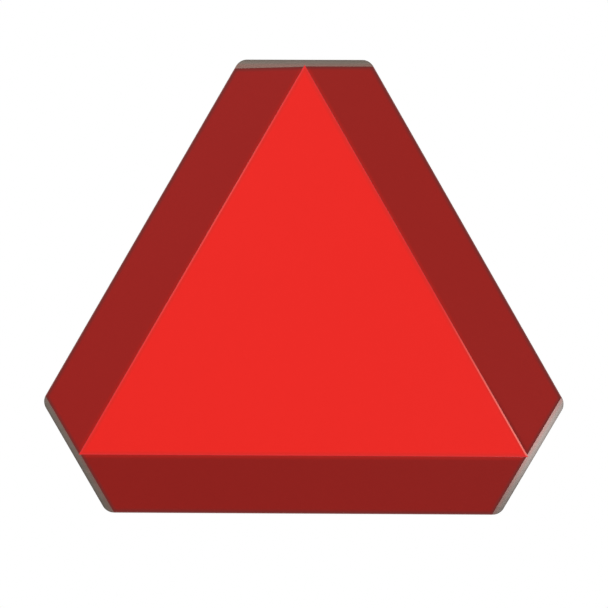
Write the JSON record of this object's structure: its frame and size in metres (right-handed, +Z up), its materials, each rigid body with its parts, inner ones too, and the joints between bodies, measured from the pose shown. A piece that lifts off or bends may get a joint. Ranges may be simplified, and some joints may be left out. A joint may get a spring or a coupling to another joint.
{
  "type": "slow moving vehicle sign",
  "caption": "Flat aluminium warning sign for slow vehicles: a bright fluorescent triangle inside dark red reflective strips, on a triangular plate with its points cut off.",
  "frame": {"origin": "middle of the triangle, on the flat back face of the plate", "axes": "+Z up towards the top point, +X to the viewer's right, the film side faces -Y and the bare back faces +Y"},
  "size_m": [0.4074, 0.0015, 0.3555],
  "materials": {
    "bare_metal": "dull rolled sheet with a fine straight grain",
    "border_film": "dark red retroreflective film, smooth with a very fine bead texture",
    "bright_film": "fluorescent red-orange film, smooth, pale along its cut edge"
  },
  "bodies": {
    "root": {"backing_plate": "bare_metal", "border_strip_left": "border_film", "border_strip_right": "border_film", "border_strip_bottom": "border_film", "fluorescent_triangle": "bright_film"}
  },
  "joints": []
}
